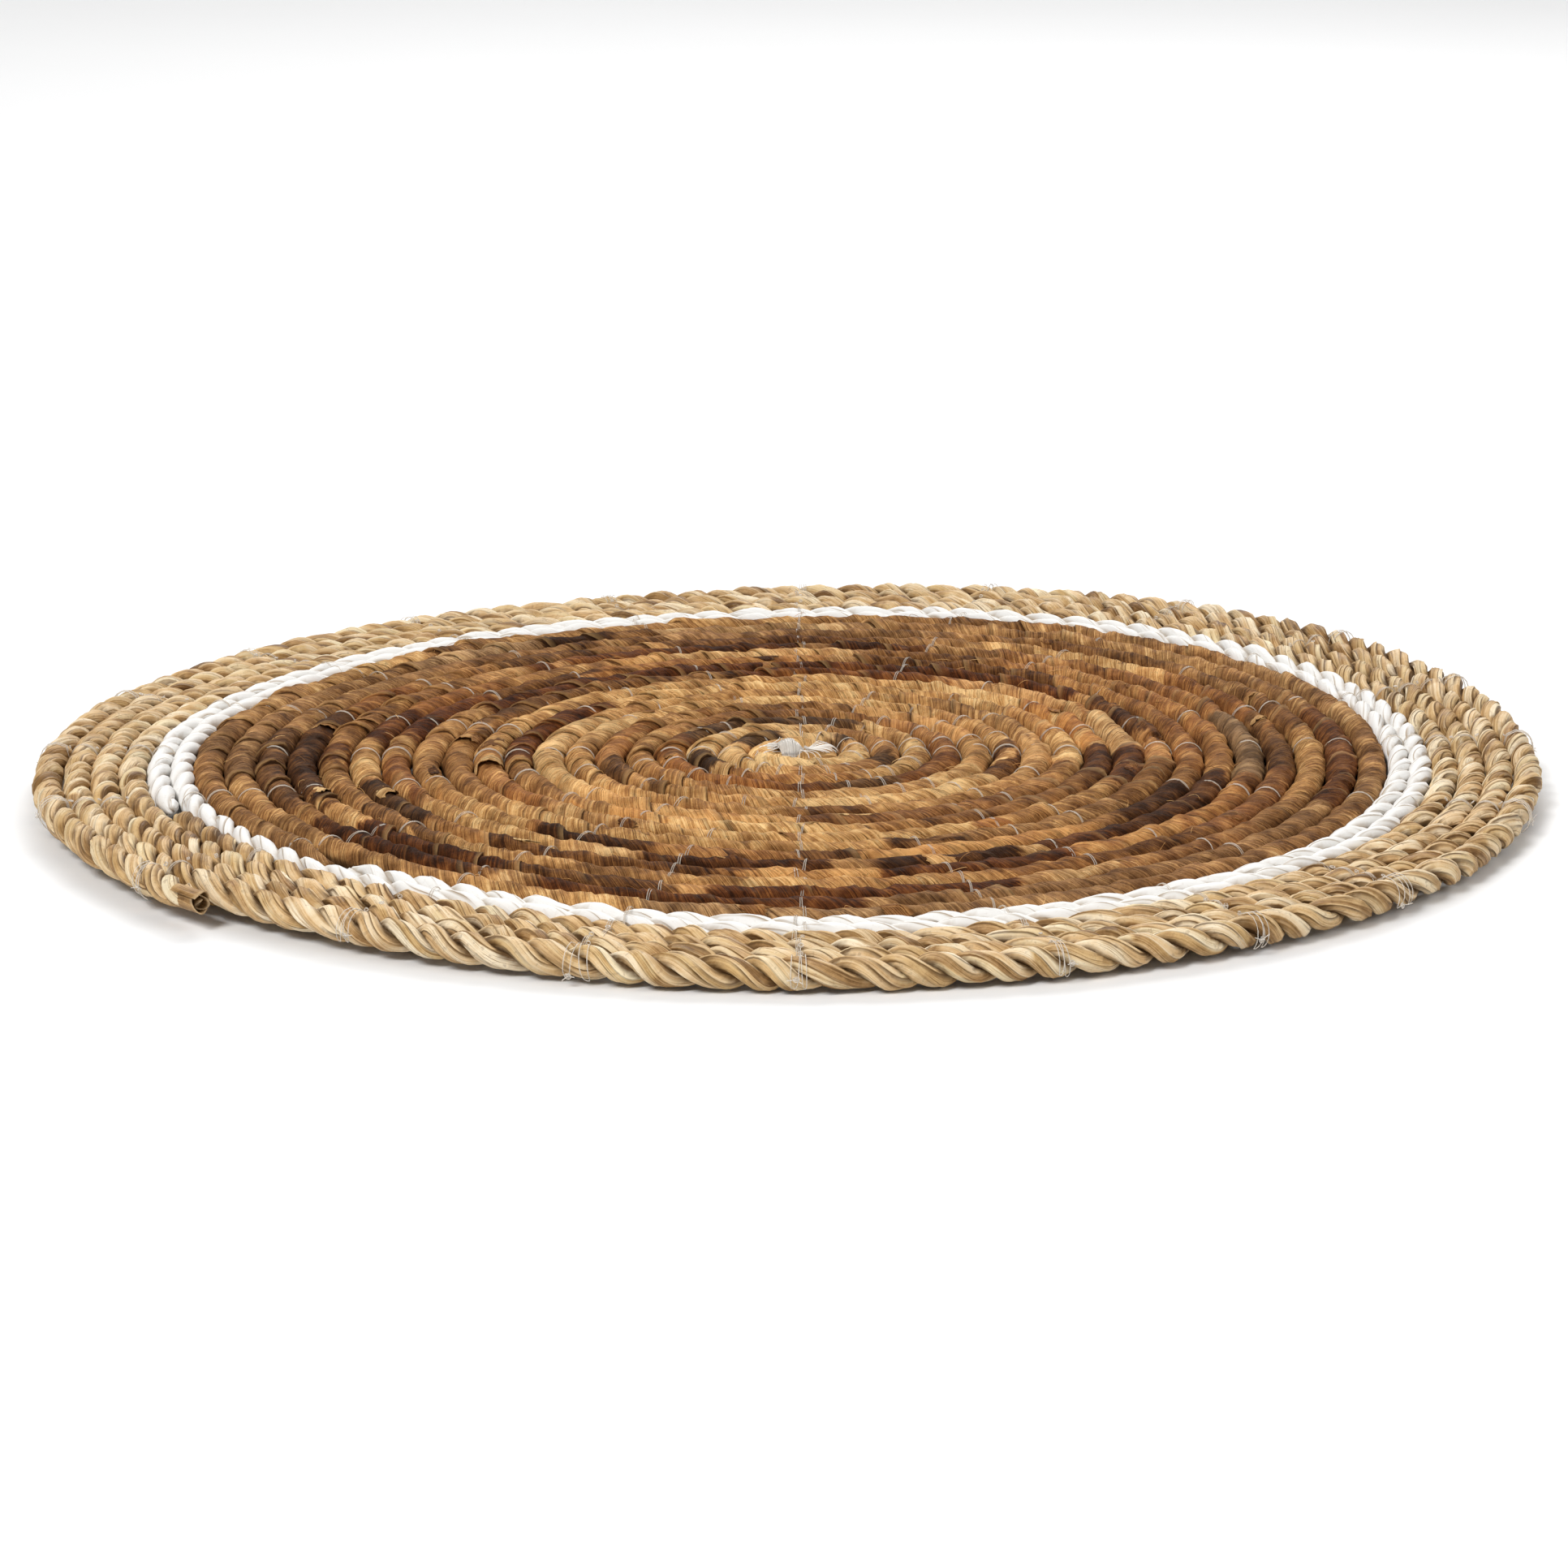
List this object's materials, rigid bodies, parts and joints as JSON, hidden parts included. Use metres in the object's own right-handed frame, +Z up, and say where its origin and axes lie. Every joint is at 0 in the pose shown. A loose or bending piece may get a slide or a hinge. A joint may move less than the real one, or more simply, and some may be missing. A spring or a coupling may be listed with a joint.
{
  "type": "round coiled rope placemat",
  "caption": "Round placemat sewn from coiled ropes: a disc wrapped in banana bark, a white cord around it and a wide natural rope rim, for setting a plate on a table.",
  "frame": {"origin": "middle of the mat, on the surface it rests on", "axes": "+Z up from the table, -Y towards the viewer of the picture, +X to the viewer's right"},
  "size_m": [0.38, 0.3759, 0.0137],
  "materials": {
    "bark": "matte fibrous bark strips, patched golden to dark brown",
    "white_cord": "matte painted twisted cord",
    "natural_rope": "satin twisted dried leaf",
    "filament": "clear nylon filament"
  },
  "bodies": {
    "root": {"bark_coil": "bark", "white_cord": "white_cord", "natural_rope": "natural_rope", "centre_binding": "filament"}
  },
  "joints": []
}
